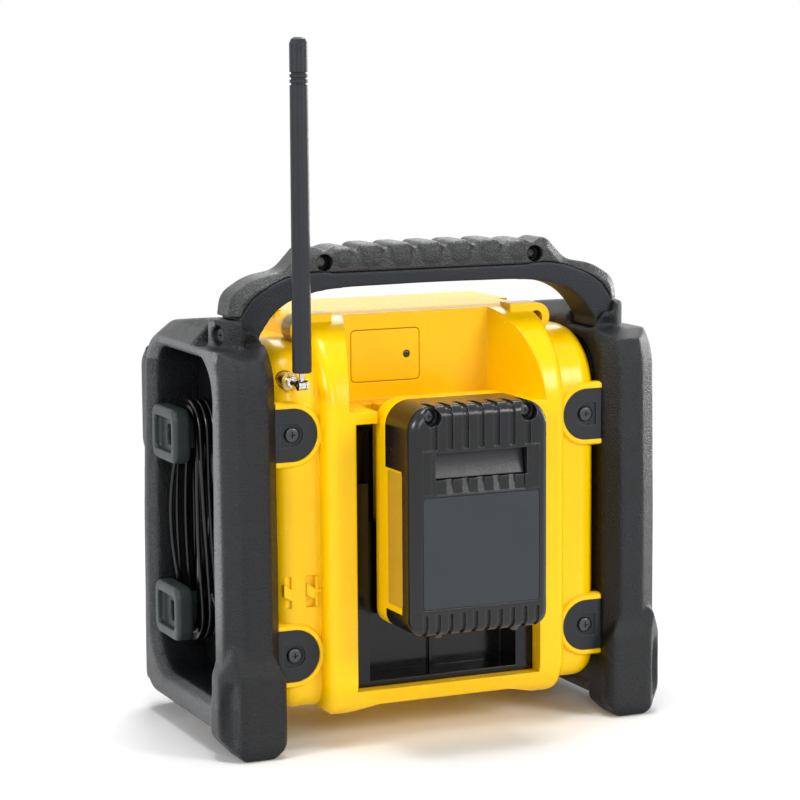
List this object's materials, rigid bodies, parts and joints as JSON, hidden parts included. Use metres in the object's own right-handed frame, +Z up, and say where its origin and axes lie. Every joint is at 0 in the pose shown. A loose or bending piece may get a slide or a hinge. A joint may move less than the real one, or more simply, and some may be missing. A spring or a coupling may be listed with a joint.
{
  "type": "jobsite radio",
  "caption": "Rugged portable radio with roll-bar side frames, carry handle, slide-on rechargeable pack, folding antenna and mains lead wound on side hooks",
  "frame": {"origin": "middle of the footprint at the level of the soles", "axes": "+Z up along the upright antenna, -Y out of the speaker front, +Y out of the battery back, +X to the side with the cord hooks"},
  "size_m": [0.249, 0.172, 0.356],
  "materials": {
    "yellow_shell": "glossy",
    "frame_rubber": "matt, fine grain",
    "grip_rubber": "matt",
    "dark_plastic": "matt",
    "bay_plastic": "semi-gloss",
    "pack_plastic": "fine texture",
    "screw_steel": "bright",
    "bright_metal": "polished",
    "brass_fitting": "satin",
    "antenna_sheath": "satin",
    "grille_metal": "satin",
    "cone_paper": "matt",
    "lens": "clear",
    "board": "satin",
    "core_steel": "satin",
    "cell_wrap": "satin",
    "knob_plastic": "satin",
    "key_rubber": "matt",
    "cord_rubber": "matt"
  },
  "bodies": {
    "radio": {"antenna_socket": "brass_fitting", "aux_jack": "bay_plastic", "backup_cover": "yellow_shell", "battery_bay": "bay_plastic", "button_board": "board", "coin_cell": "core_steel", "coin_holder": "bay_plastic", "contact_blades": "brass_fitting", "cord_gland": "cord_rubber", "cord_hank": "cord_rubber", "cord_lead": "cord_rubber", "cord_tail": "cord_rubber", "cover_screw": "screw_steel", "frame_lugs": "dark_plastic", "front_housing": "yellow_shell", "front_panel": "dark_plastic", "handle_core": "dark_plastic", "handle_grip": "grip_rubber", "handle_screws": "screw_steel", "housing_screws": "screw_steel", "lcd_lens": "lens", "lcd_module": "bay_plastic", "left_frame": "frame_rubber", "left_side_panel": "dark_plastic", "lower_hook": "dark_plastic", "lug_screws": "screw_steel", "main_board": "board", "mains_plug": "cord_rubber", "rear_housing": "yellow_shell", "right_frame": "frame_rubber", "right_side_panel": "dark_plastic", "speaker_baskets": "bay_plastic", "speaker_cones": "cone_paper", "speaker_grilles": "grille_metal", "terminal_block": "bay_plastic", "transformer": "core_steel", "tuning_control": "bay_plastic", "upper_hook": "dark_plastic", "volume_control": "bay_plastic"},
    "pack": {"pack_lower_case": "pack_plastic", "pack_upper_case": "yellow_shell", "pack_cells": "cell_wrap"},
    "latch": {"pack_latch": "pack_plastic"},
    "antenna_base": {"antenna_knuckle": "bright_metal"},
    "antenna_mast": {"antenna_stem": "bright_metal", "antenna_sleeve": "antenna_sheath"},
    "volume_dial": {"volume_knob": "knob_plastic", "volume_shaft": "bright_metal"},
    "tuning_dial": {"tuning_knob": "knob_plastic", "tuning_shaft": "bright_metal"},
    "door": {"aux_door": "dark_plastic"},
    "power_key": {"power_button": "key_rubber"},
    "band_key": {"band_button": "key_rubber"},
    "menu_key": {"menu_button": "key_rubber"},
    "preset_1_key": {"preset_1_button": "key_rubber"},
    "preset_2_key": {"preset_2_button": "key_rubber"},
    "preset_3_key": {"preset_3_button": "key_rubber"}
  },
  "joints": [
    {"name": "pack_slide", "type": "slide", "parent": "radio", "child": "pack", "axis": [0, 0, 1], "range_m": [0, 0.048]},
    {"name": "latch_press", "type": "slide", "parent": "pack", "child": "latch", "axis": [0, -1, 0], "range_m": [0, 0.002], "stiffness_N_per_m": 1200},
    {"name": "antenna_swivel", "type": "hinge", "parent": "radio", "child": "antenna_base", "pos_m": [0.0826, 0.0555, 0.1875], "axis": [0, 1, 0], "range_deg": [-30, 90]},
    {"name": "antenna_tilt", "type": "hinge", "parent": "antenna_base", "child": "antenna_mast", "pos_m": [0.0826, 0.0555, 0.1875], "axis": [-1, 0, 0], "range_deg": [0, 90]},
    {"name": "volume_turn", "type": "hinge", "parent": "radio", "child": "volume_dial", "pos_m": [0.064, -0.075, 0.16], "axis": [0, 1, 0], "range_deg": [0, 280]},
    {"name": "tuning_turn", "type": "hinge", "parent": "radio", "child": "tuning_dial", "pos_m": [-0.064, -0.075, 0.16], "axis": [0, 1, 0], "continuous": true},
    {"name": "aux_door_hinge", "type": "hinge", "parent": "radio", "child": "door", "pos_m": [0, -0.0712, 0.1076], "axis": [1, 0, 0], "range_deg": [0, 100]},
    {"name": "power_press", "type": "slide", "parent": "radio", "child": "power_key", "axis": [0, 1, 0], "range_m": [0, 0.0012], "stiffness_N_per_m": 900},
    {"name": "band_press", "type": "slide", "parent": "radio", "child": "band_key", "axis": [0, 1, 0], "range_m": [0, 0.0012], "stiffness_N_per_m": 900},
    {"name": "menu_press", "type": "slide", "parent": "radio", "child": "menu_key", "axis": [0, 1, 0], "range_m": [0, 0.0012], "stiffness_N_per_m": 900},
    {"name": "preset_1_press", "type": "slide", "parent": "radio", "child": "preset_1_key", "axis": [0, 1, 0], "range_m": [0, 0.0012], "stiffness_N_per_m": 900},
    {"name": "preset_2_press", "type": "slide", "parent": "radio", "child": "preset_2_key", "axis": [0, 1, 0], "range_m": [0, 0.0012], "stiffness_N_per_m": 900},
    {"name": "preset_3_press", "type": "slide", "parent": "radio", "child": "preset_3_key", "axis": [0, 1, 0], "range_m": [0, 0.0012], "stiffness_N_per_m": 900}
  ]
}
